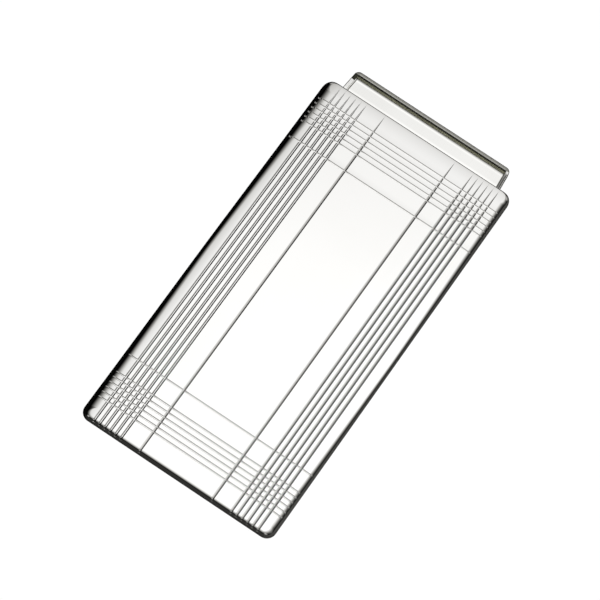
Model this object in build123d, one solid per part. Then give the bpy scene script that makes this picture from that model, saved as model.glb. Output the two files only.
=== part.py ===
from build123d import *
from math import cos, radians, sin, tan
import os

# Spring-lever money clip. Millimetres, +Z out of the decorated front, +Y towards the thumb tab.
# The model is drawn with Z = 0 on the front face and Y = 0 at the middle of the front shell,
# and "finished" then moves it so that its origin is at the bottom centre of the whole clip.

# Driving dimensions
SHELL_LENGTH = 50.8
SHELL_WIDTH = 25.4
SHELL_HEIGHT = 1.3
SHELL_SHEET = 0.6
SHELL_PLAN_RADIUS = 1.1
SHELL_EDGE_RADIUS = 0.5

GROOVE_WIDTH = 0.28
GROOVE_DEPTH = 0.10
GROOVE_PITCH = 0.7115
GROOVES_IN_BAND = 6
SINGLE_LINE_X = 4.805
SINGLE_LINE_Y = 16.56
BAND_START_STEPS = 3.5

CRIMP_LENGTH = 3.0
CRIMP_REACH = 0.35
CRIMP_SPACING = 14.0

BACKING_SHEET = 0.5
BACKING_CLEARANCE = 0.03
BACKING_NECK_WIDTH = 19.6
BACKING_NECK_START = 21.2
BACKING_NECK_END = 24.4

LEVER_SHEET = 0.5
LEVER_WIDTH = 21.48
TAB_END_WIDTH = 20.94
TAB_END_Y = 28.84
TAB_CORNER_RADIUS = 0.6
TAB_INNER_CORNER_RADIUS = 0.2
TAB_FLOOR_DEPTH = 2.2
TAB_RIM_DEPTH = 1.5
TAB_FLOOR_START = 26.25
RAMP_END = 21.6
BACK_DEPTH = 4.8
JAW_WIDTH = 19.2
JAW_CORNER_RADIUS = 2.0
JAW_TAPER_START = 13.0
JAW_TAPER_END = 8.0
TAPER_RADIUS = 5.0
JAW_CREST_Y = -21.0
JAW_GAP = 0.08
JAW_RAMP_ANGLE = 18.0
JAW_LIP_ANGLE = 32.0
JAW_LIP_LENGTH = 2.9
JAW_BEND_RADIUS = 1.3
BACK_BEND_RADIUS = 3.0
TAB_BEND_RADIUS = 0.8
CHEEK_FOOT_Y = 14.6

PIN_Y = 19.0
PIN_DEPTH = 2.9
PIN_RADIUS = 0.6
PIN_RUNNING_CLEARANCE = 0.05
PIN_HEAD_RADIUS = 1.0
PIN_HEAD_THICKNESS = 0.3
PIN_SIDE_PLAY = 0.06

BRACKET_SHEET = 0.5
BRACKET_BASE_START = 11.0
BRACKET_BASE_END = 16.6
WASHER_THICKNESS = 0.25
WASHER_RADIUS = 1.15
RIVET_RADIUS = 0.5
RIVET_HEAD_RADIUS = 0.9
RIVET_HEAD_HEIGHT = 0.35
RIVET_Y = 13.4
RIVET_X = (-7.0, -2.6, 2.6, 7.0)

WIRE_RADIUS = 0.25
COIL_RADIUS = 1.0
COIL_PITCH = 0.56
FULL_COILS = 5
COIL_OUTER_X = 8.5
UPPER_LEG_RISE = 7.6
LOWER_LEG_RISE = 8.5
LEG_LENGTH = 4.0
SPACER_WALL = 0.3
SPACER_END_GAP = 0.15

# Derived places
half_length = SHELL_LENGTH / 2
half_width = SHELL_WIDTH / 2
backing_top = -SHELL_SHEET
backing_under = backing_top - BACKING_SHEET
lever_half = LEVER_WIDTH / 2
cheek_inner = lever_half - LEVER_SHEET
ear_outer = cheek_inner - WASHER_THICKNESS - PIN_SIDE_PLAY
ear_inner = ear_outer - BRACKET_SHEET
lobe_radius = PIN_DEPTH - TAB_RIM_DEPTH
coil_length = COIL_PITCH * (FULL_COILS + 0.5 + (LOWER_LEG_RISE - UPPER_LEG_RISE) / 360)
jaw_tip_y = JAW_CREST_Y - JAW_LIP_LENGTH * cos(radians(JAW_LIP_ANGLE))


def finished(shape):
    """Move a shape to the clip's own frame: bottom centre of the whole clip at the origin."""
    middle = (TAB_END_Y - half_length) / 2
    return Pos(0, -middle, BACK_DEPTH) * shape


def save(shape, name):
    """Write one sub-part."""
    part = finished(shape)
    part.label = name
    export_step(part, f"parts/{name}.step")


def along_x(face, start, end):
    """Extrude a face that lies in the YZ plane from X = start to X = end."""
    return extrude(Pos(start, 0, 0) * face, amount=end - start, dir=(1, 0, 0))


def x_cylinder(radius, start, end):
    """A cylinder on the hinge axis, from X = start to X = end."""
    middle = Pos((start + end) / 2, PIN_Y, -PIN_DEPTH)
    return middle * Rot(0, 90, 0) * Cylinder(radius, end - start)


def groove_lines(single):
    """Places of the engraved lines on one side of the centre: one single line and one band."""
    band = [single + (BAND_START_STEPS + step) * GROOVE_PITCH for step in range(GROOVES_IN_BAND)]
    return [single] + band


def groove(length):
    """A V-shaped cutter along Y with its point at GROOVE_DEPTH."""
    rise = GROOVE_DEPTH * 2
    half = GROOVE_WIDTH
    outline = Polyline((-half, 0, rise - GROOVE_DEPTH), (half, 0, rise - GROOVE_DEPTH),
                       (0, 0, -GROOVE_DEPTH), close=True)
    return Pos(0, -length / 2, 0) * extrude(make_face(outline), amount=length, dir=(0, 1, 0))


def front_shell():
    outer = extrude(RectangleRounded(SHELL_WIDTH, SHELL_LENGTH, SHELL_PLAN_RADIUS), -SHELL_HEIGHT)
    outer = fillet(outer.edges().group_by(Axis.Z)[-1], SHELL_EDGE_RADIUS)
    inside = RectangleRounded(SHELL_WIDTH - 2 * SHELL_SHEET, SHELL_LENGTH - 2 * SHELL_SHEET,
                              SHELL_PLAN_RADIUS - SHELL_SHEET)
    shell = outer - Pos(0, 0, backing_top) * extrude(inside, -SHELL_HEIGHT)
    # The end wall is open where the lever's rims swing up.
    notch_width = LEVER_WIDTH + 2 * (PIN_HEAD_THICKNESS + 0.1)
    shell -= Pos(0, half_length, backing_top - 1) * Box(notch_width, 4 * SHELL_SHEET, 2)
    # Crimped lugs hold the backing plate.
    lug_x = half_width - SHELL_SHEET - CRIMP_REACH / 2
    lug_height = SHELL_HEIGHT + backing_under
    for side in (-1, 1):
        for step in (-1, 0, 1):
            place = Pos(side * lug_x, step * CRIMP_SPACING, backing_under - lug_height / 2)
            shell += place * Box(CRIMP_REACH + 0.02, CRIMP_LENGTH, lug_height)
    # Engraved lines run right across the front.
    for line in groove_lines(SINGLE_LINE_X):
        shell -= Pos(line, 0, 0) * groove(SHELL_LENGTH + 2)
        shell -= Pos(-line, 0, 0) * groove(SHELL_LENGTH + 2)
    for line in groove_lines(SINGLE_LINE_Y):
        shell -= Pos(0, line, 0) * Rot(0, 0, 90) * groove(SHELL_WIDTH + 2)
        shell -= Pos(0, -line, 0) * Rot(0, 0, 90) * groove(SHELL_WIDTH + 2)
    return shell


def rivet_holes(top, bottom):
    """The shanks' space between two heights, one cylinder for each rivet."""
    depth = top - bottom
    return [Pos(x, RIVET_Y, (top + bottom) / 2) * Cylinder(RIVET_RADIUS, depth) for x in RIVET_X]


def backing_plate():
    width = SHELL_WIDTH - 2 * (SHELL_SHEET + BACKING_CLEARANCE)
    bottom = -(half_length - SHELL_SHEET - BACKING_CLEARANCE)
    length = BACKING_NECK_START - bottom
    body = Pos(0, bottom + length / 2) * RectangleRounded(width, length, SHELL_PLAN_RADIUS - SHELL_SHEET)
    neck_length = BACKING_NECK_END - BACKING_NECK_START + 1
    neck = Pos(0, BACKING_NECK_END - neck_length / 2) * RectangleRounded(
        BACKING_NECK_WIDTH, neck_length, 0.6)
    plate = Pos(0, 0, backing_under) * extrude(body + neck, BACKING_SHEET)
    for hole in rivet_holes(backing_top, backing_under):
        plate -= hole
    return plate


def hinge_bracket():
    """A riveted base with a folded ear at each side that carries the pin."""
    base_bottom = backing_under - BRACKET_SHEET
    base_length = BRACKET_BASE_END - BRACKET_BASE_START
    base_middle = (BRACKET_BASE_START + BRACKET_BASE_END) / 2
    bracket = Pos(0, base_middle, backing_under - BRACKET_SHEET / 2) * Box(
        2 * ear_outer, base_length, BRACKET_SHEET)
    lobe = lobe_radius - 0.2
    strap = Polyline((0, BRACKET_BASE_START, backing_under), (0, PIN_Y + lobe, backing_under),
                     (0, PIN_Y + lobe, -PIN_DEPTH), (0, PIN_Y - 0.35 * lobe, -PIN_DEPTH - 0.9 * lobe),
                     (0, BRACKET_BASE_START, base_bottom), close=True)
    for side in (-1, 1):
        start, end = sorted((side * ear_inner, side * ear_outer))
        ear = along_x(make_face(strap), start, end) + x_cylinder(lobe, start, end)
        bracket += ear
    bracket -= x_cylinder(PIN_RADIUS, -half_width, half_width)
    for hole in rivet_holes(backing_under, base_bottom):
        bracket -= hole
    return bracket


def bracket_rivets():
    """Flush at the backing plate's hidden side, domed under the bracket."""
    base_bottom = backing_under - BRACKET_SHEET
    dome_radius = (RIVET_HEAD_RADIUS ** 2 + RIVET_HEAD_HEIGHT ** 2) / (2 * RIVET_HEAD_HEIGHT)
    rivets = []
    for shank, x in zip(rivet_holes(backing_top, base_bottom), RIVET_X):
        ball = Pos(x, RIVET_Y, base_bottom - RIVET_HEAD_HEIGHT + dome_radius) * Sphere(dome_radius)
        block = Pos(x, RIVET_Y, base_bottom - RIVET_HEAD_HEIGHT / 2) * Cylinder(
            RIVET_HEAD_RADIUS, RIVET_HEAD_HEIGHT)
        rivets.append(shank + (block & ball))
    return Compound(children=rivets)


def hinge_pin():
    """Fixed in the bracket's ears, headed at the left and plain at the right, for the collar."""
    head_start = lever_half + PIN_SIDE_PLAY
    pin = x_cylinder(PIN_RADIUS, -head_start - PIN_HEAD_THICKNESS, head_start + PIN_HEAD_THICKNESS)
    return pin + x_cylinder(PIN_HEAD_RADIUS, -head_start - PIN_HEAD_THICKNESS, -head_start)


def pin_collar():
    """The ring that is riveted on the pin's plain end."""
    start = lever_half + PIN_SIDE_PLAY
    end = start + PIN_HEAD_THICKNESS
    return x_cylinder(PIN_HEAD_RADIUS, start, end) - x_cylinder(PIN_RADIUS, start - 1, end + 1)


def pin_washer(side):
    """Thrust washer between a bracket ear and the lever's cheek."""
    start, end = sorted((side * ear_outer, side * (ear_outer + WASHER_THICKNESS)))
    hole = x_cylinder(PIN_RADIUS + PIN_RUNNING_CLEARANCE, start - 1, end + 1)
    return x_cylinder(WASHER_RADIUS, start, end) - hole


def torsion_spring(side):
    """Coil on the hinge pin with both legs towards the tab: one up, one down."""
    coil = Helix(COIL_PITCH, coil_length, COIL_RADIUS)
    # The coil's axis goes to X. Its first end is at the top, turned back until the leg rises.
    coil = Rot(UPPER_LEG_RISE, 0, 0) * Rot(0, 90, 0) * Rot(0, 0, 180) * coil
    coil = Pos(COIL_OUTER_X - coil_length, PIN_Y, -PIN_DEPTH) * coil
    upper_leg = Line(coil @ 0 - (coil % 0) * LEG_LENGTH, coil @ 0)
    lower_leg = Line(coil @ 1, coil @ 1 + (coil % 1) * LEG_LENGTH)
    path = Wire([upper_leg, coil, lower_leg])
    section = Plane(upper_leg @ 0, z_dir=upper_leg % 0) * Circle(WIRE_RADIUS)
    spring = sweep(section, path=path)
    if side < 0:
        spring = mirror(spring, about=Plane.YZ)
    return spring


def spring_spacer():
    """Tube on the pin that keeps the two coils apart."""
    end = COIL_OUTER_X - coil_length - WIRE_RADIUS - SPACER_END_GAP
    bore = PIN_RADIUS + PIN_RUNNING_CLEARANCE
    return x_cylinder(bore + SPACER_WALL, -end, end) - x_cylinder(bore, -end - 1, end + 1)


def lever_line():
    """Middle line of the bent lever sheet, from the tab to the jaw's lip."""
    half_sheet = LEVER_SHEET / 2
    ramp = radians(JAW_RAMP_ANGLE)
    lip = radians(JAW_LIP_ANGLE)
    rounding = JAW_BEND_RADIUS * ((sin(ramp) + sin(lip)) / sin(ramp + lip) - 1)
    crest = backing_under - JAW_GAP - half_sheet + rounding
    tab = -TAB_FLOOR_DEPTH - half_sheet
    back = -BACK_DEPTH + half_sheet
    points = [
        (0, TAB_END_Y - half_sheet, tab),
        (0, TAB_FLOOR_START, tab),
        (0, RAMP_END, back),
        (0, JAW_CREST_Y + (crest - back) / tan(ramp), back),
        (0, JAW_CREST_Y, crest),
        (0, jaw_tip_y, crest - JAW_LIP_LENGTH * sin(lip)),
    ]
    radii = [TAB_BEND_RADIUS, TAB_BEND_RADIUS, BACK_BEND_RADIUS, JAW_BEND_RADIUS]
    return FilletPolyline(*points, radius=radii)


def lever_outline(inset, tab_radius):
    """Plan outline of the lever, drawn inset from its edge."""
    wide = lever_half - inset
    tab_end = TAB_END_WIDTH / 2 - inset
    jaw = JAW_WIDTH / 2 - inset
    right = [(tab_end, TAB_END_Y - inset), (wide, half_length), (wide, JAW_TAPER_START),
             (jaw, JAW_TAPER_END), (jaw, jaw_tip_y + inset)]
    left = [(-x, y) for x, y in reversed(right)]
    outline = make_face(Polyline(*right, *left, close=True))
    rows = outline.vertices().group_by(Axis.Y)
    outline = fillet(rows[1] + rows[2], TAPER_RADIUS)
    outline = fillet(outline.vertices().group_by(Axis.Y)[0], JAW_CORNER_RADIUS)
    return fillet(outline.vertices().group_by(Axis.Y)[-1], tab_radius)


def clamp_lever():
    tall = BACK_DEPTH + 1
    outline = Pos(0, 0, -tall) * extrude(lever_outline(0, TAB_CORNER_RADIUS), tall)
    inside = Pos(0, 0, -tall) * extrude(
        lever_outline(LEVER_SHEET, TAB_INNER_CORNER_RADIUS), tall)
    profile = make_face(offset(lever_line(), LEVER_SHEET / 2, side=Side.BOTH, kind=Kind.ARC))
    sheet = along_x(profile, -lever_half, lever_half) & outline
    # The rim round the tab, which deepens into a cheek at each side of the hinge.
    middle = LEVER_SHEET / 2
    low = -BACK_DEPTH + middle
    cheek_line = Polyline((0, TAB_END_Y + 1, -TAB_RIM_DEPTH), (0, PIN_Y, -TAB_RIM_DEPTH),
                          (0, PIN_Y - 0.8 * lobe_radius, -PIN_DEPTH - 0.6 * lobe_radius + 1e-3),
                          (0, CHEEK_FOOT_Y, low), (0, RAMP_END, low),
                          (0, TAB_FLOOR_START, -TAB_FLOOR_DEPTH - middle),
                          (0, TAB_END_Y + 1, -TAB_FLOOR_DEPTH - middle), close=True)
    wall = (outline - inside) & along_x(make_face(cheek_line), -lever_half, lever_half)
    lever = sheet + wall
    lever += x_cylinder(lobe_radius, -lever_half, -cheek_inner)
    lever += x_cylinder(lobe_radius, cheek_inner, lever_half)
    return lever - x_cylinder(PIN_RADIUS + PIN_RUNNING_CLEARANCE, -half_width, half_width)


def main():
    os.makedirs("parts", exist_ok=True)
    save(front_shell(), "front_shell")
    save(backing_plate(), "backing_plate")
    save(hinge_bracket(), "hinge_bracket")
    save(bracket_rivets(), "bracket_rivets")
    save(hinge_pin(), "hinge_pin")
    save(pin_collar(), "pin_collar")
    save(pin_washer(-1), "pin_washer_left")
    save(pin_washer(1), "pin_washer_right")
    save(torsion_spring(-1), "torsion_spring_left")
    save(torsion_spring(1), "torsion_spring_right")
    save(spring_spacer(), "spring_spacer")
    save(clamp_lever(), "clamp_lever")


main()
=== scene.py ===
import math

import bmesh
import bpy
from mathutils import Matrix, Vector


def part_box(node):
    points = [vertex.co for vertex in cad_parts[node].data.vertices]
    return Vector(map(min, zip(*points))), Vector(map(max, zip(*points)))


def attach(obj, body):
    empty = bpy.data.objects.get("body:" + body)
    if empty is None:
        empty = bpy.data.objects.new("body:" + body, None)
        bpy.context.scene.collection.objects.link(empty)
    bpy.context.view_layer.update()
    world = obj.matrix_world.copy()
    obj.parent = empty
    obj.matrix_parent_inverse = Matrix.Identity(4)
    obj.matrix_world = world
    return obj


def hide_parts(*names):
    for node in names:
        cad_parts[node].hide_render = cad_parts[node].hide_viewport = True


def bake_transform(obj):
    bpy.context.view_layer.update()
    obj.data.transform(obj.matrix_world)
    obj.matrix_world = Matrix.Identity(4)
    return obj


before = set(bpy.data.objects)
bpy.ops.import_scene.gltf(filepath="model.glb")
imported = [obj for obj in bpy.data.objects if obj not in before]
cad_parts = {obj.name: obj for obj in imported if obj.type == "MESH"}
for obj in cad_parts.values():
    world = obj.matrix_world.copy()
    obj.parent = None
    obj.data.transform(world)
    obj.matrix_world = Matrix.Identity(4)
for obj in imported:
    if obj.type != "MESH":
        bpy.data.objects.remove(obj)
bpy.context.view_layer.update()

MM = 0.001

# Where the clip is, in millimetres in the frame of the CAD model.
SHELL_LOW, SHELL_HIGH = (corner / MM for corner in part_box("front_shell"))
LEVER_LOW, LEVER_HIGH = (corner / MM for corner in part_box("clamp_lever"))
PIN_LOW, PIN_HIGH = (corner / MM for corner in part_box("hinge_pin"))

FRONT_Z = SHELL_HIGH.z
MIDDLE_Y = (SHELL_LOW.y + SHELL_HIGH.y) / 2
HALF_WIDTH = (SHELL_HIGH.x - SHELL_LOW.x) / 2
HALF_LENGTH = (SHELL_HIGH.y - SHELL_LOW.y) / 2
SHELL_DEPTH = SHELL_HIGH.z - SHELL_LOW.z

# The pieces are drawn like the CAD model: depths are below the front face, Y is 0 at the
# middle of the front. The move to the shared frame is in "placed".
PIN_Y = (PIN_LOW.y + PIN_HIGH.y) / 2 - MIDDLE_Y
PIN_DEPTH = FRONT_Z - (PIN_LOW.z + PIN_HIGH.z) / 2
BACK_DEPTH = FRONT_Z - LEVER_LOW.z
TAB_END = LEVER_HIGH.y - MIDDLE_Y
TIP_Y = LEVER_LOW.y - MIDDLE_Y

# Front shell
SHELL_SHEET = 0.6
EDGE_STRIP = 1.45
BOTTOM_CORNER = 1.2
TOP_CORNER = 0.95
NOTCH_HALF = 11.14
LEFT_ROLL = (0.78, 1.38)
RIGHT_ROLL = (0.46, 0.91)
BOTTOM_ROLL = 0.42
TOP_ROLL = 0.17
DEEPEST_ROLL = 1.15
CROWN_WIDTH = 3.0
SIDE_CROWN_DROP = 0.14
END_CROWN_DROP = 0.05
CROWN_POWER = 3
ROLL_GROWTH_POWER = 1.3
FLAT_POINTS = 4
ROLL_STEPS = 20
INNER_BEND = 0.15
NOTCH_STEP = 0.04
LOWER_EDGE_ROUND = 0.1
LUG_LENGTH = 3.0
LUG_REACH = 0.35
LUG_PLACES = (-14.0, 0.0, 14.0)
LUG_WALL_OVERLAP = 0.02
LUG_TOP = 0.505
LUG_BEVEL = 0.05
LUG_FOOT_SHARE = 0.7
LUG_ROUNDING = 1.6

# Engraving
GROOVE_PITCH = 0.7115
# (distance across, depth) of the lines: the ones along the clip are cut with a leaning tool.
LEFT_LINE = ((-0.28, 0.0), (-0.14, 0.08), (-0.075, 0.085), (0.075, 0.0))
RIGHT_LINE = ((-0.26, 0.0), (-0.15, 0.032), (-0.05, 0.08), (0.085, 0.0))
CROSS_LINE = ((-0.12, 0.0), (-0.03, 0.055), (0.02, 0.055), (0.1, -0.004), (0.33, 0.0))
THIN_FROM = 20.0
THIN_TO = 24.95
THINNING_POWER = 0.6
NICK_TILTS = (18.0, 46.0)
NICK_SLOPE = 0.17
ENGRAVING_SHIFT = 0.15
SINGLE_LINE_X = 4.805
SINGLE_LINE_Y = 16.56
BAND_START_STEPS = 3.5
GROOVES_IN_BAND = 6
GROOVE_FADE = (0.12, 0.5)
PLAIN_SPACING = 0.6

# Lever
LEVER_SHEET = 0.5
CHEEK_HALF = 10.74
TAB_START_HALF = 10.86
TAB_END_HALF = 10.58
TAB_CORNER = 0.6
TAB_FLOOR_DEPTH = 2.2
TAB_RIM_DEPTH = 1.3
RIM_RISE_LENGTH = 0.6
LOBE_RADIUS = 1.4
LOBE_FOOT_SHARE = 0.6
TAB_FLARE_LENGTH = 2
JAW_TAPER = (7.2, 13.8)
END_WALL = 0.5
# Length of the left rim, back from the tab's end, that gets the end wall's painted dark shade.
PAINTED_SHADE_CORNER = 1.35
LEFT_RIM_SLANT = 0.09
RIGHT_RIM_SLANT = 0.14
END_RIM_SLANT = 0.07
TAB_FLOOR_START = 26.25
RAMP_END = 21.6
CHEEK_FOOT_Y = 14.6
JAW_HALF = 9.6
JAW_CORNER = 2.0
JAW_CREST_Y = -21.0
JAW_CREST_DEPTH = 1.18
JAW_RAMP = 18.0
JAW_LIP = 32.0
CREST_LIFT = 0.05
BEND_RADII = (0.8, 0.8, 3.0, 1.3)
BEND_STEPS = 12
END_BEND = 0.42
SIDE_BEND = 0.1
OUTER_BEND = 0.45
CUT_EDGE_ROUND = 0.12
# Depth below the front face where the end wall's painted dark shade begins; nearer the front the wall is
# near black.
PAINTED_SHADE_DEPTH = 1.68
RIM_INNER_ROUND = 0.16
LARGEST_EDGE_SHARE = 0.45
LARGEST_BEND_SHARE = 0.5
SLANT_END_LENGTH = 0.6
LEFT_INNER_ROUND = 0.04
PIN_HOLE = 0.65
FACING = 0.8
RIM_FACE_MARGIN = 0.5
SIDE_EDGE, END_EDGE, PAINTED_SHADE_WALL = 1, 2, 3

# Springs
WIRE_RADIUS = 0.25
COIL_RADIUS = 1.0
COIL_OUTER_X = 8.5
COIL_PITCH = 0.56
COIL_TURNS = 5.5025
UPPER_LEG_RISE = 7.6
LEG_LENGTH = 4.0
LEG_STEPS = 8
COIL_STEPS = 32
WIRE_SIDES = 14
WIRE_END_SHARE = 0.75


# ---------------------------------------------------------------- shader arithmetic

class Value:
    """One shader number that takes part in ordinary arithmetic."""

    def __init__(self, finish, socket):
        self.finish = finish
        self.socket = socket

    def math(self, operation, *others, clamp=False):
        settings = {"operation": operation, "use_clamp": clamp}
        sockets = dict(enumerate((self, *others)))
        return Value(self.finish, self.finish.node("ShaderNodeMath", settings, sockets).outputs[0])

    def __add__(self, other):
        return self.math("ADD", other)

    def __sub__(self, other):
        return self.math("SUBTRACT", other)

    def __rsub__(self, other):
        return self.math("MULTIPLY_ADD", -1.0, other)

    def __mul__(self, other):
        return self.math("MULTIPLY", other)

    def __truediv__(self, other):
        return self.math("DIVIDE", other)

    __radd__ = __add__
    __rmul__ = __mul__

    def over(self, low, high):
        """0 at low, 1 at high and a straight line between."""
        return ((self - low) / (high - low)).math("ADD", 0.0, clamp=True)


class Finish:
    """A material and the one way in which its nodes are made."""

    def __init__(self, name):
        self.material = bpy.data.materials.new(name)
        self.material.use_nodes = True
        self.tree = self.material.node_tree
        self.tree.nodes.clear()
        self.output = self.node("ShaderNodeOutputMaterial")

    def node(self, kind, settings=None, sockets=None):
        """A node of one type: first its settings, then the values or links of its sockets."""
        node = self.tree.nodes.new(kind)
        for key, item in (settings or {}).items():
            if key == "stops":
                self.set_stops(node.color_ramp, item)
            else:
                setattr(node, key, item)
        for key, item in (sockets or {}).items():
            item = item.socket if isinstance(item, Value) else item
            if isinstance(item, bpy.types.NodeSocket):
                self.tree.links.new(item, node.inputs[key])
            else:
                node.inputs[key].default_value = item
        return node

    def set_stops(self, ramp, stops):
        while len(ramp.elements) < len(stops):
            ramp.elements.new(0.5)
        for element, (place, level) in zip(ramp.elements, stops):
            element.position = place
            element.color = (level, level, level, 1)

    def value(self, *node):
        return Value(self, self.node(*node).outputs[0])

    def place(self, scale=(1.0, 1.0, 1.0)):
        """The point in the object's own space, stretched along the axes."""
        own = self.node("ShaderNodeTexCoord").outputs["Object"]
        return self.node("ShaderNodeMapping", None, {"Vector": own, "Scale": scale}).outputs[0]

    def noise(self, vector, scale, detail, roughness=0.55):
        sockets = {"Vector": vector, "Scale": scale, "Detail": detail, "Roughness": roughness}
        return self.value("ShaderNodeTexNoise", None, sockets)

    def mix(self, factor, first, second):
        """A colour between two colours."""
        sockets = {0: factor, 6: first, 7: second}
        return self.node("ShaderNodeMix", {"data_type": "RGBA"}, sockets).outputs[2]

    def bump(self, height, strength, distance):
        sockets = {"Height": height, "Strength": strength, "Distance": distance}
        return self.node("ShaderNodeBump", None, sockets).outputs[0]

    def surface(self, shader):
        self.tree.links.new(shader.outputs[0], self.output.inputs["Surface"])
        return self.material

    def metal(self, colour, rough, normal, metallic=1.0):
        sockets = {"Metallic": metallic, "Base Color": colour, "Roughness": rough, "Normal": normal}
        return self.surface(self.node("ShaderNodeBsdfPrincipled", None, sockets))


# ---------------------------------------------------------------- finishes

def mirror_plate():
    """Bright plating with a faint polishing haze and a few hairlines along the clip."""
    finish = Finish("mirror_plate")
    haze = finish.noise(finish.place(), 90.0, 4.0).over(0.35, 0.75)
    hairline = finish.noise(finish.place((9000.0, 260.0, 9000.0)), 1.0, 2.0).over(0.62, 0.8)
    colour = finish.mix(haze * 0.6, (0.955, 0.95, 0.94, 1), (0.93, 0.922, 0.905, 1))
    rough = 0.035 + 0.025 * haze + 0.03 * hairline
    return finish.metal(colour, rough, finish.bump(hairline, 0.02, 0.00002))


def lever_plate():
    """The same plating on the lever, with more handling marks."""
    finish = Finish("lever_plate")
    haze = finish.noise(finish.place(), 120.0, 5.0).over(0.35, 0.75)
    hairline = finish.noise(finish.place((7000.0, 350.0, 7000.0)), 1.0, 3.0).over(0.55, 0.78)
    colour = finish.mix(haze * 0.6, (0.94, 0.937, 0.92, 1), (0.90, 0.89, 0.865, 1))
    rough = 0.05 + 0.06 * haze + 0.07 * hairline
    return finish.metal(colour, rough, finish.bump(hairline, 0.05, 0.00002))


def sheared_edge(name, light, dark):
    """The lever's cut edge: plated over, but duller and finely dragged across the sheet."""
    finish = Finish(name)
    drag = finish.noise(finish.place((5200.0, 5200.0, 900.0)), 1.0, 3.0)
    patch = finish.noise(finish.place(), 420.0, 2.0)
    colour = finish.mix(drag.over(0.3, 0.7), light, dark)
    return finish.metal(colour, 0.2 + 0.12 * patch, finish.bump(drag, 0.35, 0.00003))


def olive_wall_painted_shade():
    """The inner side of the tab's end wall: rough and olive, with painted dark shade on its part nearer the
    front, standing in for the dark reflection seen there.
    """
    finish = Finish("olive_wall_painted_shade")
    stain = finish.noise(finish.place((300.0, 900.0, 900.0)), 1.0, 3.0)
    split = finish.node("ShaderNodeSeparateXYZ", None, {0: finish.place((0.0, 0.0, 1.0 / MM))})
    height = Value(finish, split.outputs["Z"])
    # Painted shade: nearer the front than this depth the wall is near black, standing in for the dark
    # reflection it shows.
    shade = height.over(FRONT_Z - PAINTED_SHADE_DEPTH - 0.05, FRONT_Z - PAINTED_SHADE_DEPTH + 0.05)
    olive = finish.mix(stain.over(0.35, 0.65), (0.42, 0.42, 0.29, 1), (0.31, 0.31, 0.21, 1))
    colour = finish.mix(shade, olive, (0.03, 0.03, 0.02, 1))
    shine = 0.2 + 0.6 * shade
    return finish.metal(colour, 0.3 + 0.2 * stain, finish.bump(stain, 0.1, 0.00003), shine)


def brushed_steel(name, light, dark, grain, rough):
    """Satin steel that is brushed in one direction and stained in patches."""
    finish = Finish(name)
    brush = finish.noise(finish.place(grain), 1.0, 4.0, 0.65)
    stain = finish.noise(finish.place(), 160.0, 3.0).over(0.3, 0.75)
    colour = finish.mix(brush.over(0.3, 0.7), light, dark)
    return finish.metal(colour, rough + 0.12 * stain + 0.08 * brush, finish.bump(brush, 0.25, 0.00002))


def brass(name, grain):
    """Brass with soft tarnish and fine turning or pressing marks."""
    finish = Finish(name)
    tarnish = finish.noise(finish.place(), 700.0, 4.0).over(0.35, 0.75)
    mark = finish.noise(finish.place(grain), 1.0, 2.0)
    colour = finish.mix(tarnish, (0.83, 0.66, 0.36, 1), (0.55, 0.39, 0.19, 1))
    return finish.metal(colour, 0.22 + 0.2 * tarnish + 0.06 * mark, finish.bump(mark, 0.2, 0.00002))


def spring_wire():
    """Drawn wire, darker in patches from its heat treatment."""
    finish = Finish("spring_wire")
    scale = finish.noise(finish.place(), 900.0, 4.0).over(0.3, 0.7)
    die_line = finish.noise(finish.place(), 6000.0, 2.0)
    colour = finish.mix(scale, (0.50, 0.49, 0.47, 1), (0.27, 0.25, 0.235, 1))
    return finish.metal(colour, 0.25 + 0.16 * scale, finish.bump(die_line, 0.15, 0.00002))


# ---------------------------------------------------------------- mesh helpers

def placed(x, y, depth):
    """A point that is given from the middle of the front face, in metres in the shared frame."""
    return Vector((x, y + MIDDLE_Y, FRONT_Z - depth)) * MM


class Skin:
    """Faces whose corners are shared wherever two points meet."""

    def __init__(self):
        self.shape = bmesh.new()
        self.made = {}

    def point(self, x, y, depth):
        key = (round(x, 4), round(y, 4), round(depth, 4))
        if key not in self.made:
            self.made[key] = self.shape.verts.new(placed(x, y, depth))
        return self.made[key]

    def face(self, *corners):
        corners = list(dict.fromkeys(corners))
        if len(corners) > 2 and not self.shape.faces.get(corners):
            self.shape.faces.new(corners)

    def loft(self, rows):
        for first, second in zip(rows, rows[1:]):
            for i in range(len(first) - 1):
                self.face(first[i], first[i + 1], second[i + 1], second[i])

    def piece(self, name, material, sharp_angle=30):
        """The finished object; its flat faces keep flat shading beside their rounded edges."""
        bmesh.ops.recalc_face_normals(self.shape, faces=self.shape.faces)
        for face in self.shape.faces:
            face.smooth = True
        mesh = bpy.data.meshes.new(name)
        self.shape.to_mesh(mesh)
        self.shape.free()
        mesh.materials.append(material)
        mesh.set_sharp_from_angle(angle=math.radians(sharp_angle))
        made = bpy.data.objects.new(name, mesh)
        bpy.context.scene.collection.objects.link(made)
        weighted = made.modifiers.new("flat_faces_stay_flat", "WEIGHTED_NORMAL")
        weighted.keep_sharp = True
        weighted.weight = 50
        return made


def arc(steps, start=0.0, end=90.0):
    """Angles in radians from start to end degrees."""
    return [math.radians(start + (end - start) * i / steps) for i in range(steps + 1)]


def smooth(low, high, at):
    share = min(max((at - low) / (high - low), 0.0), 1.0)
    return share * share * (3 - 2 * share)


def quarter(radius, at):
    """How far a rounded edge has fallen, at a distance from its outer side."""
    run = radius - min(max(at, 0.0), radius)
    return radius - math.sqrt(max(radius * radius - run * run, 0.0))


# ---------------------------------------------------------------- front shell

def engraved_lines(single):
    """Places of the engraved lines from the first side's band to the other's."""
    band = [single + (BAND_START_STEPS + i) * GROOVE_PITCH for i in range(GROOVES_IN_BAND)]
    return sorted([-line for line in [single] + band] + [single] + band)


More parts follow.
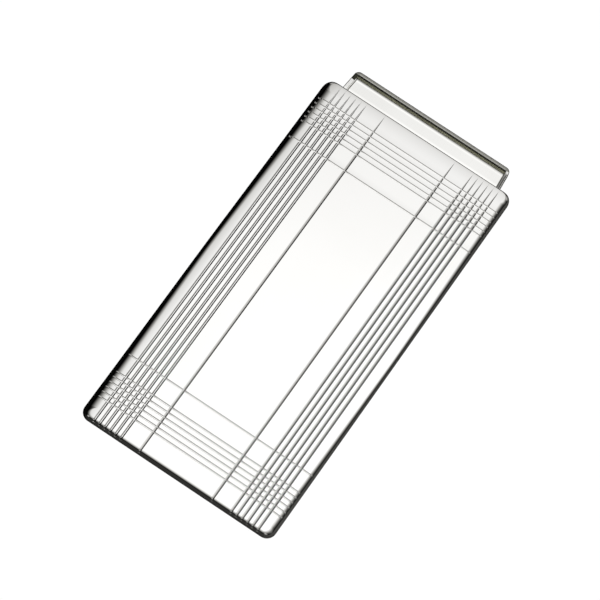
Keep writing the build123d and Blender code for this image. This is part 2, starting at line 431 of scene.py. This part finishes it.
def ruled(single, limit, low_section, high_section, shift=0.0, extra=()):
    """Sorted (place, cut, middle of the line) across the front, with plain places between the lines."""
    marks = [(place, 0.0, place) for place in (-limit, limit, *extra)]
    for line in engraved_lines(single):
        section = low_section if line < -single - GROOVE_PITCH else high_section
        marks += [(line + shift + at, cut, line + shift) for at, cut in section]
    marks.sort()
    for (low, *_), (high, *_) in zip(marks[:], marks[1:]):
        steps = int((high - low) / PLAIN_SPACING) + 1
        plain = [low + (high - low) * i / steps for i in range(1, steps)]
        marks += [(place, 0.0, place) for place in plain]
    return sorted(marks)


def crown(x, y):
    """The front is very slightly domed towards its edges."""
    from_side = 1 - (HALF_WIDTH - abs(x)) / CROWN_WIDTH
    from_end = 1 - (HALF_LENGTH - abs(y)) / CROWN_WIDTH
    side_drop = SIDE_CROWN_DROP * max(from_side, 0.0) ** CROWN_POWER
    return side_drop + END_CROWN_DROP * max(from_end, 0.0) ** CROWN_POWER


def combined(first, second):
    """The cut where two engraved directions meet: the deeper one wins, and else the higher burr."""
    deepest = max(first, second)
    return deepest if deepest > 0 else min(first, second)


def side_roll(side, y):
    """Radius of a rolled long edge, smallest at the middle of the clip."""
    middle, end = LEFT_ROLL if side < 0 else RIGHT_ROLL
    share = min(abs(y) / (HALF_LENGTH - EDGE_STRIP), 1.0)
    return middle + (end - middle) * share ** ROLL_GROWTH_POWER


def edge_profile(roll, bottom):
    """(inset, depth) from the flat front over the roll, down the wall and up its inner side."""
    points = [(EDGE_STRIP - (EDGE_STRIP - roll) * i / FLAT_POINTS, 0.0) for i in range(FLAT_POINTS)]
    low = bottom - LOWER_EDGE_ROUND
    depth = min(roll, DEEPEST_ROLL)
    points += [(roll * (1 - math.sin(a)), depth * (1 - math.cos(a))) for a in arc(ROLL_STEPS)]
    points += [(0.0, depth + (low - depth) * i / 3) for i in (1, 2)]
    points += [(LOWER_EDGE_ROUND * (1 - math.cos(a)), low + LOWER_EDGE_ROUND * math.sin(a))
               for a in arc(5)]
    inner = SHELL_SHEET - LOWER_EDGE_ROUND
    points += [(inner + LOWER_EDGE_ROUND * math.sin(a), low + LOWER_EDGE_ROUND * math.cos(a))
               for a in arc(5)]
    points += [(SHELL_SHEET + INNER_BEND * (1 - math.cos(a)), SHELL_SHEET + INNER_BEND * (1 - math.sin(a)))
               for a in arc(4)]
    points += [(EDGE_STRIP, SHELL_SHEET)]
    return [(inset, min(depth_here, bottom)) for inset, depth_here in points]


def line_size(y):
    """The lines along the clip get thin towards its top end and stop just before it."""
    return min(max((THIN_TO - y) / (THIN_TO - THIN_FROM), 0.0), 1.0) ** THINNING_POWER


def engraved(profile, cut, nicked, top):
    """The same profile with an engraved line cut square to its surface, running out on the roll.
    A nick is where the tool ran on level over the falling roll and left a small level floor."""
    points = []
    first, last = (int(tilt * ROLL_STEPS / 90) + FLAT_POINTS for tilt in NICK_TILTS)
    for i, (inset, depth) in enumerate(profile):
        fade = 1 - smooth(*GROOVE_FADE, depth)
        fade *= line_size(HALF_LENGTH - inset) if top else 1.0
        if nicked and first < i < last:
            depth = profile[last][1] - (inset - profile[last][0]) * NICK_SLOPE
        elif cut and fade and i < len(profile) / 2:
            before, after = profile[max(i - 1, 0)], profile[i + 1]
            along = Vector((after[0] - before[0], after[1] - before[1])).normalized()
            inset += along.y * cut * fade
            depth -= along.x * cut * fade
        points.append((inset, depth))
    return points


def corner_reach(turn, radius):
    """From the flat middle's corner to the outline, whose corner is rounder or sharper than the strip."""
    square = EDGE_STRIP / max(math.cos(turn), math.sin(turn))
    towards = (EDGE_STRIP - radius) * (math.cos(turn) + math.sin(turn))
    under_root = radius ** 2 - 2 * (EDGE_STRIP - radius) ** 2 + towards ** 2
    rounded = towards + math.sqrt(max(under_root, 0.0))
    on_arc = rounded * min(math.cos(turn), math.sin(turn)) > EDGE_STRIP - radius
    return rounded if on_arc else square


def front_panel():
    skin = Skin()
    inner_x = HALF_WIDTH - EDGE_STRIP
    inner_y = HALF_LENGTH - EDGE_STRIP
    notch = (NOTCH_HALF, NOTCH_HALF + NOTCH_STEP)
    columns = ruled(SINGLE_LINE_X, inner_x, LEFT_LINE, RIGHT_LINE, ENGRAVING_SHIFT,
                    (*notch, *(-x for x in notch)))
    rows = ruled(SINGLE_LINE_Y, inner_y, CROSS_LINE, CROSS_LINE)

    # The flat middle. Where walls of two engraved lines cross, the cell is split on the mitre.
    grid = []
    for y, cut_y, _ in rows:
        size = line_size(y)
        grid.append([skin.point(middle + (x - middle) * size, y,
                                crown(x, y) + combined(cut_x * size, cut_y))
                     for x, cut_x, middle in columns])
    for j in range(len(rows) - 1):
        for i in range(len(columns) - 1):
            a, b = grid[j][i], grid[j][i + 1]
            d, c = grid[j + 1][i], grid[j + 1][i + 1]
            fall_right = columns[i + 1][1] - columns[i][1]
            fall_up = rows[j + 1][1] - rows[j][1]
            if not fall_right or not fall_up:
                skin.face(a, b, c, d)
            elif fall_right * fall_up > 0:
                skin.face(a, b, c)
                skin.face(a, c, d)
            else:
                skin.face(a, b, d)
                skin.face(b, c, d)

    def station(x, y, out_x, out_y, roll, bottom, cut=0.0, middle=None, nicked=False):
        """One strip of the edge: it starts at a point of the flat middle and runs outwards."""
        points = []
        top = middle is not None and out_y > 0
        for i, (inset, down) in enumerate(engraved(edge_profile(roll, bottom), cut, nicked, top)):
            at_x = x + out_x * (EDGE_STRIP - inset)
            at_y = y + out_y * (EDGE_STRIP - inset)
            if top:
                at_x = middle + (x - middle) * line_size(min(at_y, THIN_TO))
            drop = crown(at_x, at_y) if i < FLAT_POINTS + ROLL_STEPS else 0.0
            points.append(skin.point(at_x, at_y, down + drop))
        return points

    def corner(side, end, end_roll):
        """The plan corner, where the long edge's roll turns into the end's."""
        strips = []
        radius = BOTTOM_CORNER if end < 0 else TOP_CORNER
        for a in arc(18):
            side_end = side_roll(side, HALF_LENGTH)
            roll = side_end + (end_roll - side_end) * smooth(0.0, math.radians(90), a)
            reach = corner_reach(a, radius) / EDGE_STRIP
            strips.append(station(side * inner_x, end * inner_y, side * reach * math.cos(a),
                                  end * reach * math.sin(a), roll, SHELL_DEPTH))
        return strips

    deepest = max(cut for _, cut, _ in rows)
    for side in (-1, 1):
        skin.loft([station(side * inner_x, y, side, 0, side_roll(side, y), SHELL_DEPTH, cut,
                           nicked=side < 0 < y and cut == deepest) for y, cut, _ in rows])
    for end, end_roll in ((-1, BOTTOM_ROLL), (1, TOP_ROLL)):
        bottoms = [SHELL_SHEET if end > 0 and abs(x) <= NOTCH_HALF else SHELL_DEPTH for x, *_ in columns]
        skin.loft([station(x, end * inner_y, 0, end, end_roll, bottom, cut, middle)
                   for (x, cut, middle), bottom in zip(columns, bottoms)])
        for side in (-1, 1):
            skin.loft(corner(side, end, end_roll))

    # The hidden side of the sheet.
    under = [[skin.point(x, y, SHELL_SHEET) for x, *_ in columns] for y in (-inner_y, inner_y)]
    left = [skin.point(-inner_x, y, SHELL_SHEET) for y, *_ in rows]
    right = [skin.point(inner_x, y, SHELL_SHEET) for y, *_ in rows]
    skin.face(*under[0], *right[1:-1], *reversed(under[1]), *reversed(left[1:-1]))
    return skin.piece("front_panel", mirror_plate(), sharp_angle=12)


def crimp_lugs():
    """Lugs that are pressed inwards from the long walls, over the backing plate."""
    skin = Skin()
    wall = HALF_WIDTH - SHELL_SHEET + LUG_WALL_OVERLAP
    top = SHELL_SHEET + LUG_TOP
    for side in (-1, 1):
        for middle in LUG_PLACES:
            rows = []
            for a in arc(12, -90.0, 90.0):
                y = middle + LUG_LENGTH / 2 * math.sin(a)
                reach = (LUG_REACH + LUG_WALL_OVERLAP) * min(1.0, LUG_ROUNDING * math.cos(a))
                section = [(0.0, top), (reach - LUG_BEVEL, top), (reach, top + LUG_BEVEL),
                           (reach * LUG_FOOT_SHARE, SHELL_DEPTH), (0.0, SHELL_DEPTH)]
                rows.append([skin.point(side * (wall - max(inset, 0.0)), y, depth)
                             for inset, depth in section + section[:1]])
            skin.loft(rows)
            for row in (rows[0], rows[-1]):
                skin.face(*row[:-1])
    return skin.piece("crimp_lugs", bpy.data.materials["mirror_plate"])


# ---------------------------------------------------------------- lever

def bent_line(points, radii):
    """Dense (y, depth) points along a line whose inner corners are rounded."""
    path = [points[0]]
    for before, here, after, radius in zip(points, points[1:], points[2:], radii):
        back = (Vector(before) - Vector(here)).normalized()
        on = (Vector(after) - Vector(here)).normalized()
        half = back.angle(on) / 2
        middle = Vector(here) + (back + on).normalized() * radius / math.sin(half)
        start = Vector(here) + back * radius / math.tan(half)
        end = Vector(here) + on * radius / math.tan(half)
        for i in range(BEND_STEPS + 1):
            spoke = (start - middle).normalized().slerp((end - middle).normalized(), i / BEND_STEPS)
            path.append(tuple(middle + spoke * radius))
    return path + [points[-1]]


def sheet_sides():
    """(y, depth) of the lever sheet's upper and lower side, both from the tab to the jaw's tip."""
    half = LEVER_SHEET / 2
    back = BACK_DEPTH - half
    crest = JAW_CREST_DEPTH + half - CREST_LIFT
    tab = TAB_FLOOR_DEPTH + half
    ramp = math.tan(math.radians(JAW_RAMP))
    lip = math.radians(JAW_LIP)
    end_y = TIP_Y + half
    line = bent_line(
        [(TAB_END, tab), (TAB_FLOOR_START, tab), (RAMP_END, back),
         (JAW_CREST_Y + (back - crest) / ramp, back), (JAW_CREST_Y, crest),
         (end_y, crest + (JAW_CREST_Y - end_y) * math.tan(lip))],
        BEND_RADII)
    upper, lower = [], []
    for i, (y, depth) in enumerate(line):
        before, after = line[max(i - 1, 0)], line[min(i + 1, len(line) - 1)]
        along = Vector((after[0] - before[0], after[1] - before[1])).normalized()
        upper.append((y - along.y * half, depth + along.x * half))
        lower.append((y + along.y * half, depth - along.x * half))
    # The rounded tip closes both sides.
    end = Vector(line[-1])
    for a in arc(8, 90.0 - JAW_LIP, 0.0):
        upper.append((end.x - half * math.cos(a), end.y - half * math.sin(a)))
    for a in arc(8, 90.0 + JAW_LIP, 0.0):
        lower.append((end.x - half * math.cos(a), end.y + half * math.sin(a)))
    return upper, lower


def reading(side, y):
    """Depth of one side of the sheet at y; its points run towards falling y."""
    if y >= side[0][0]:
        return side[0][1]
    for (high, depth_high), (low, depth_low) in zip(side, side[1:]):
        if low <= y <= high:
            return depth_low + (depth_high - depth_low) * (y - low) / max(high - low, 1e-9)
    return side[-1][1]


def lever_half(y):
    """Half of the lever's width."""
    share = (TAB_END - y) / (TAB_END - HALF_LENGTH)
    tab = TAB_END_HALF + (TAB_START_HALF - TAB_END_HALF) * min(share, 1.0)
    half = CHEEK_HALF + (tab - CHEEK_HALF) * smooth(PIN_Y + TAB_FLARE_LENGTH, HALF_LENGTH, y)
    half -= (CHEEK_HALF - JAW_HALF) * (1 - smooth(*JAW_TAPER, y))
    return half - quarter(TAB_CORNER, TAB_END - y) - quarter(JAW_CORNER, y - TIP_Y)


def rim_depth(y, floor):
    """Depth of the rim's cut edge: level on the tab, round about the pin, then down to the floor."""
    if y >= PIN_Y:
        rim = PIN_DEPTH - LOBE_RADIUS
        rim += (TAB_RIM_DEPTH - rim) * smooth(HALF_LENGTH, HALF_LENGTH + RIM_RISE_LENGTH, y)
        rim += END_RIM_SLANT * max(y - TAB_END + END_WALL, 0.0) / END_WALL
        return rim + quarter(CUT_EDGE_ROUND, TAB_END - y)
    lobe_start = PIN_Y - LOBE_RADIUS
    if y >= lobe_start:
        return PIN_DEPTH - math.sqrt(LOBE_RADIUS ** 2 - (PIN_Y - y) ** 2)
    foot = BACK_DEPTH - LEVER_SHEET
    rise = foot - PIN_DEPTH - LOBE_FOOT_SHARE * LOBE_RADIUS
    return min(foot - rise * (y - CHEEK_FOOT_Y) / (lobe_start - CHEEK_FOOT_Y), floor)


def lever_stations():
    """Where the lever is cut into sections, along Y."""
    inner_face = TAB_END - END_WALL
    places = [TIP_Y + JAW_CORNER * (1 - math.cos(a)) for a in arc(12)]
    places += [TIP_Y + 0.002, TIP_Y + 0.02, TIP_Y + 0.07]
    for start, step, count in ((TIP_Y + 2, 0.1, 25), (-19.0, 0.5, 30), (-4.0, 1.0, 10), (6.0, 0.5, 18)):
        places += [start + i * step for i in range(count)]
    places += [PIN_Y - LOBE_RADIUS * math.cos(a) for a in arc(12)]
    places += [PIN_Y - LOBE_RADIUS - 0.01, CHEEK_FOOT_Y, 15.5, 16.5]
    places += [PIN_Y + 0.5 + i * 0.25 for i in range(int((inner_face - 0.5 - PIN_Y) / 0.25))]
    places += [inner_face - END_BEND * (1 - math.sin(a)) for a in arc(12)]
    places += [inner_face + 0.001 + RIM_INNER_ROUND * (1 - math.cos(a)) for a in arc(6)]
    places += [TAB_END - OUTER_BEND * (1 - math.sin(a)) for a in arc(9)]
    places += [TAB_END - TAB_CORNER * (1 - math.sin(a)) for a in arc(9)]
    places += [TAB_END - CUT_EDGE_ROUND * (1 - math.sin(a)) for a in arc(6)]
    return sorted(set(round(y, 4) for y in places))


def lever_section(y, upper, lower):
    """(x, depth) once round the lever sheet and its rims at y."""
    inner_face = TAB_END - END_WALL
    half = lever_half(y)
    bottom = reading(lower, y)
    floor = reading(upper, y)
    rim = rim_depth(y, floor)
    if y > PIN_Y:
        bottom = min(bottom, TAB_FLOOR_DEPTH + LEVER_SHEET) if y > TAB_FLOOR_START else bottom
        bottom -= quarter(OUTER_BEND, TAB_END - y)
    if y > inner_face:
        floor = rim + quarter(RIM_INNER_ROUND, y - inner_face)
    elif y > inner_face - END_BEND:
        floor -= END_BEND - math.sqrt(max(END_BEND ** 2 - (y - inner_face + END_BEND) ** 2, 0.0))
    wall = half - LEVER_SHEET
    rise = max(floor - rim, 0.0)
    sheet = bottom - rim
    edge = min(CUT_EDGE_ROUND, sheet * LARGEST_EDGE_SHARE)
    inner_bend = min(SIDE_BEND, rise / 3)
    grown = smooth(CHEEK_FOOT_Y - 2, PIN_Y, y)
    outer_bend = min(CUT_EDGE_ROUND + (OUTER_BEND - CUT_EDGE_ROUND) * grown, sheet * LARGEST_BEND_SHARE)

    def side_points(slant, inner_round):
        """From the sheet's under side out, up the wall, over its cut edge and back to the floor."""
        slant = min(slant * (1 - smooth(inner_face - SLANT_END_LENGTH, inner_face, y)), rise / 3)
        inner_edge = min(inner_round, rise / 3)
        points = [(half - outer_bend * (1 - math.sin(a)), bottom - outer_bend * (1 - math.cos(a)))
                  for a in arc(7)]
        points += [(half - edge * (1 - math.cos(a)), rim + edge * (1 - math.sin(a))) for a in arc(5)]
        points += [(wall + inner_edge * (1 - math.sin(a)), rim + slant + inner_edge * (1 - math.cos(a)))
                   for a in arc(5)]
        points += [(wall - inner_bend * (1 - math.cos(a)), floor - inner_bend * (1 - math.sin(a)))
                   for a in arc(7)]
        return points

    right = side_points(RIGHT_RIM_SLANT, RIM_INNER_ROUND)
    left = [(-x, depth) for x, depth in reversed(side_points(LEFT_RIM_SLANT, LEFT_INNER_ROUND))]
    return [(0.0, bottom)] + right + [(0.0, floor)] + left + [(0.0, bottom)]


def clamp_plate():
    skin = Skin()
    upper, lower = sheet_sides()
    rows = [[skin.point(x, y, depth) for x, depth in lever_section(y, upper, lower)]
            for y in lever_stations()]
    skin.loft(rows)
    skin.face(*dict.fromkeys(rows[0]))
    skin.face(*dict.fromkeys(rows[-1]))
    lever = skin.piece("clamp_plate", lever_plate())
    side_edge = sheared_edge("side_cut_edge", (0.92, 0.915, 0.9, 1), (0.8, 0.795, 0.78, 1))
    # The end rim's copy of the cut-edge finish is darker: its colours are painted shade, standing in for
    # the darker reflection on the end rim.
    end_edge_painted_shade = sheared_edge("end_cut_edge_painted_shade", (0.56, 0.555, 0.52, 1), (0.46, 0.455, 0.42, 1))
    for material in (side_edge, end_edge_painted_shade, olive_wall_painted_shade()):
        lever.data.materials.append(material)
    for polygon in lever.data.polygons:
        depth = FRONT_Z - polygon.center.z / MM
        y = polygon.center.y / MM - MIDDLE_Y
        if polygon.normal.z > FACING and depth < TAB_FLOOR_DEPTH - RIM_FACE_MARGIN and y > PIN_Y:
            # The left rim's corner by the end wall gets painted dark shade from the end wall's material.
            in_painted_shade = y > TAB_END - PAINTED_SHADE_CORNER and polygon.center.x < 0
            polygon.material_index = END_EDGE if y > TAB_END - END_WALL else PAINTED_SHADE_WALL if in_painted_shade else SIDE_EDGE
        # The end wall's inner side gets the olive material with its painted dark shade.
        elif polygon.normal.y < -FACING and y > TAB_END - END_WALL - END_BEND:
            polygon.material_index = PAINTED_SHADE_WALL
    drill_pin_hole(lever)
    return lever


def drill_pin_hole(lever):
    """The running hole through both cheeks."""
    shape = bmesh.new()
    turn = Matrix.Translation(placed(0, PIN_Y, PIN_DEPTH)) @ Matrix.Rotation(math.radians(90), 4, "Y")
    bmesh.ops.create_cone(shape, cap_ends=True, segments=48, radius1=PIN_HOLE * MM,
                          radius2=PIN_HOLE * MM, depth=4 * HALF_WIDTH * MM, matrix=turn)
    mesh = bpy.data.meshes.new("pin_hole_drill")
    shape.to_mesh(mesh)
    shape.free()
    drill = bpy.data.objects.new("pin_hole_drill", mesh)
    bpy.context.scene.collection.objects.link(drill)
    cut = lever.modifiers.new("pin_hole", "BOOLEAN")
    cut.object = drill
    bpy.context.view_layer.objects.active = lever
    bpy.ops.object.modifier_move_to_index(modifier=cut.name, index=0)
    bpy.ops.object.modifier_apply(modifier=cut.name)
    bpy.data.objects.remove(drill)


# ---------------------------------------------------------------- springs

def spring_path(side):
    """Points along the wire: upper leg, coil about the pin, lower leg."""
    start_turn = math.radians(90 + UPPER_LEG_RISE)
    inner_x = COIL_OUTER_X - COIL_PITCH * COIL_TURNS
    coil = []
    steps = int(COIL_TURNS * COIL_STEPS)
    for i in range(steps + 1):
        share = i / steps
        turn = start_turn + share * COIL_TURNS * 2 * math.pi
        coil.append(Vector((inner_x + share * (COIL_OUTER_X - inner_x),
                            PIN_Y + COIL_RADIUS * math.cos(turn),
                            PIN_DEPTH - COIL_RADIUS * math.sin(turn))))
    end_turn = start_turn + COIL_TURNS * 2 * math.pi
    slope = COIL_PITCH / (2 * math.pi)
    first = Vector((-slope, math.sin(start_turn), math.cos(start_turn))).normalized()
    last = Vector((slope, -math.sin(end_turn), -math.cos(end_turn))).normalized()
    path = [coil[0] + first * LEG_LENGTH * i / LEG_STEPS for i in range(LEG_STEPS, 0, -1)] + coil
    path += [coil[-1] + last * LEG_LENGTH * i / LEG_STEPS for i in range(1, LEG_STEPS + 1)]
    return [Vector((side * point.x, point.y, point.z)) for point in path]


def torsion_spring(side, name, material):
    skin = Skin()
    path = spring_path(side)
    rings = []
    for i, point in enumerate(path):
        along = (path[min(i + 1, len(path) - 1)] - path[max(i - 1, 0)]).normalized()
        across = along.cross(Vector((1, 0, 0))).normalized()
        third = along.cross(across)
        ends = WIRE_END_SHARE if i in (0, len(path) - 1) else 1.0
        ring = [point + (across * math.cos(a) + third * math.sin(a)) * WIRE_RADIUS * ends
                for a in arc(WIRE_SIDES, 0.0, 360.0)]
        rings.append([skin.point(*corner) for corner in ring])
    skin.loft(rings)
    for ring in (rings[0], rings[-1]):
        skin.face(*dict.fromkeys(ring))
    spring = skin.piece(name, material, sharp_angle=40)
    placed(side * (COIL_OUTER_X - COIL_PITCH * COIL_TURNS), PIN_Y, PIN_DEPTH)
    placed(side * COIL_OUTER_X, PIN_Y, PIN_DEPTH)
    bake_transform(spring)
    return spring


# ---------------------------------------------------------------- pieces kept from the CAD model

def paint(node, material):
    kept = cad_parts[node]
    kept.data.materials.clear()
    kept.data.materials.append(material)


# ---------------------------------------------------------------- studio

def spread(stops):
    """Ramp stops from (angle in degrees, light), with 0 to 1 standing for -180 to 180."""
    return [((angle + 180) / 360, light) for angle, light in stops]


ACROSS = spread([(-180, 0.002), (-75, 0.002), (-65, 0.045), (-52, 0.188), (-30, 0.456), (-15, 0.70),
                 (-8, 0.95), (-5, 1.0), (10, 1.0), (16, 0.87), (32, 0.645), (42, 0.456), (56, 0.188),
                 (71, 0.11), (85, 0.08), (180, 0.07)])
ALONG = spread([(-180, 0.03), (-150, 0.03), (-130, 0.01), (-100, 0.004), (-70, 0.006), (-55, 0.18),
                (-45, 0.35), (-30, 0.60), (-25, 0.68), (-10, 0.85), (0, 0.95), (10, 1.0), (23, 1.0),
                (26, 0.87), (30, 0.75), (40, 0.5), (55, 0.2), (75, 0.05), (100, 0.03), (180, 0.03)])
LOW_ROUND = spread([(-180, 0.003), (-113, 0.002), (-70, 0.003), (-40, 0.02), (-15, 0.03), (30, 0.045),
                    (113, 0.065), (148, 0.065), (180, 0.02)])
ZENITH_LIGHT = 1.12
CORNER_LIGHT = 0.42
DOME_RADIUS = 3.0
HORIZON = (-0.03, 0.03)
# Where a corner soft box begins and is full, in x squared, y squared and height.
CORNER_X = (0.12, 0.3)
CORNER_Y = (0.25, 0.4)
CORNER_FOOT = (0.06, 0.16)
CORNER_HEAD = (0.62, 0.5)
TABLE_HALF = 2.9
TABLE_GAP = 0.0002
TABLE_LIGHT = 1.02


def studio_light():
    """The soft boxes and dark flags round the table, as light that depends on direction."""
    finish = Finish("studio_light")
    direction = finish.place((1 / DOME_RADIUS, 1 / DOME_RADIUS, 1 / DOME_RADIUS))
    split = finish.node("ShaderNodeSeparateXYZ", None, {0: direction})
    x, y, z = (Value(finish, split.outputs[i]) for i in range(3))

    def round_about(first, second, stops):
        angle = first.math("ARCTAN2", second) / (2 * math.pi) + 0.5
        return finish.value("ShaderNodeValToRGB", {"stops": stops}, {0: angle})

    above = round_about(x, z, ACROSS) * round_about(y, z, ALONG) * ZENITH_LIGHT
    below = round_about(x, 0.0 - y, LOW_ROUND)
    upper = z.over(*HORIZON)
    # Four low soft boxes stand at the corners of the table.
    beside = (x * x).over(*CORNER_X) * (y * y).over(*CORNER_Y) * z.over(*CORNER_FOOT) * z.over(*CORNER_HEAD)
    light = above * upper + below * (1 - upper) + beside * CORNER_LIGHT
    warm = finish.mix(light.over(0.0, 0.9), (1.0, 0.985, 0.93, 1), (1.0, 1.0, 0.995, 1))
    colour = finish.node("ShaderNodeVectorMath", {"operation": "SCALE"},
                         {"Vector": warm, "Scale": light})
    return finish.surface(finish.node("ShaderNodeEmission", None, {"Color": colour.outputs[0]}))


def studio_dome():
    """A dome round the table that shows only in reflections."""
    shape = bmesh.new()
    bmesh.ops.create_uvsphere(shape, u_segments=96, v_segments=48, radius=1.0)
    for vertex in shape.verts:
        vertex.co = vertex.co.normalized() * DOME_RADIUS
    mesh = bpy.data.meshes.new("studio_dome")
    shape.to_mesh(mesh)
    shape.free()
    dome = bpy.data.objects.new("studio_dome", mesh)
    bpy.context.scene.collection.objects.link(dome)
    material = studio_light()
    material.cycles.emission_sampling = "NONE"
    mesh.materials.append(material)
    dome.visible_camera = False
    dome.visible_diffuse = False
    dome.visible_shadow = False
    dome.visible_transmission = False


def table():
    """A pale floor that gives off its own even light, so no shadow shows on it."""
    finish = Finish("pale_table")
    fleck = finish.noise(finish.place(), 40.0, 2.0)
    tone = finish.mix(fleck, (1.0, 1.0, 1.0, 1), (0.995, 0.995, 0.995, 1))
    paper = finish.node("ShaderNodeEmission", None, {"Color": tone, "Strength": TABLE_LIGHT})
    material = finish.surface(paper)
    material.cycles.emission_sampling = "NONE"
    mesh = bpy.data.meshes.new("table")
    shape = bmesh.new()
    bmesh.ops.create_grid(shape, x_segments=8, y_segments=8, size=TABLE_HALF)
    shape.to_mesh(mesh)
    shape.free()
    mesh.materials.append(material)
    floor = bpy.data.objects.new("table", mesh)
    floor.location.z = -TABLE_GAP
    bpy.context.scene.collection.objects.link(floor)
    floor.visible_glossy = False
    floor.visible_diffuse = False


def room_light():
    world = bpy.data.worlds.new("room_light")
    world.use_nodes = True
    world.node_tree.nodes["Background"].inputs["Color"].default_value = (1.0, 1.0, 1.0, 1)
    world.node_tree.nodes["Background"].inputs["Strength"].default_value = 1.0
    bpy.context.scene.world = world
    bpy.context.scene.view_settings.view_transform = "Standard"


# Angles in degrees; distance, lens and aim in millimetres.
CAMERA_AZIMUTH = 15.065
CAMERA_HEIGHT = 66.205
CAMERA_ROLL = 19.585
CAMERA_DISTANCE = 467.32
CAMERA_LENS = 250.235
AIM = (-0.1784, 0.2027, 0.0)


def camera():
    azimuth = math.radians(CAMERA_AZIMUTH)
    height = math.radians(CAMERA_HEIGHT)
    roll = math.radians(CAMERA_ROLL)
    back = Vector((math.sin(azimuth) * math.cos(height), -math.cos(azimuth) * math.cos(height),
                   math.sin(height)))
    level = Vector((0, 0, 1)).cross(back).normalized()
    rise = back.cross(level)
    right = level * math.cos(roll) + rise * math.sin(roll)
    up = back.cross(right)
    turn = Matrix((right, up, back)).transposed()
    data = bpy.data.cameras.new("clip_view")
    data.lens = CAMERA_LENS
    data.sensor_width = 36.0
    data.clip_start = 0.01
    data.clip_end = 20.0
    made = bpy.data.objects.new("clip_view", data)
    made.matrix_world = Matrix.Translation(placed(*AIM) + back * CAMERA_DISTANCE * MM) @ turn.to_4x4()
    bpy.context.scene.collection.objects.link(made)
    bpy.context.scene.camera = made


# ---------------------------------------------------------------- the whole clip

def main():
    room_light()
    studio_dome()
    table()
    camera()

    panel = front_panel()
    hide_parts("front_shell")
    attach(panel, "front")
    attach(crimp_lugs(), "front")
    lever = clamp_plate()
    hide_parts("clamp_lever")
    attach(lever, "lever")
    wire = spring_wire()
    for side, word in ((-1, "left"), (1, "right")):
        spring = torsion_spring(side, f"coiled_spring_{word}", wire)
        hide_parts(f"torsion_spring_{word}")

    along = (6000.0, 400.0, 6000.0)
    across = (400.0, 6000.0, 6000.0)
    turned = (9000.0, 500.0, 500.0)
    paint("backing_plate", brushed_steel("inner_plate", (0.66, 0.655, 0.64, 1), (0.5, 0.495, 0.48, 1),
                                         across, 0.26))
    paint("hinge_bracket", brushed_steel("bracket_steel", (0.60, 0.595, 0.58, 1), (0.43, 0.425, 0.41, 1),
                                         along, 0.30))
    drawn = brushed_steel("pin_steel", (0.70, 0.69, 0.67, 1), (0.5, 0.49, 0.47, 1), turned, 0.18)
    paint("hinge_pin", drawn)
    paint("pin_collar", drawn)
    turned_brass = brass("washer_brass", turned)
    for node in ("pin_washer_left", "pin_washer_right", "spring_spacer"):
        paint(node, turned_brass)
    paint("bracket_rivets", brass("rivet_brass", (2500.0, 2500.0, 2500.0)))


main()
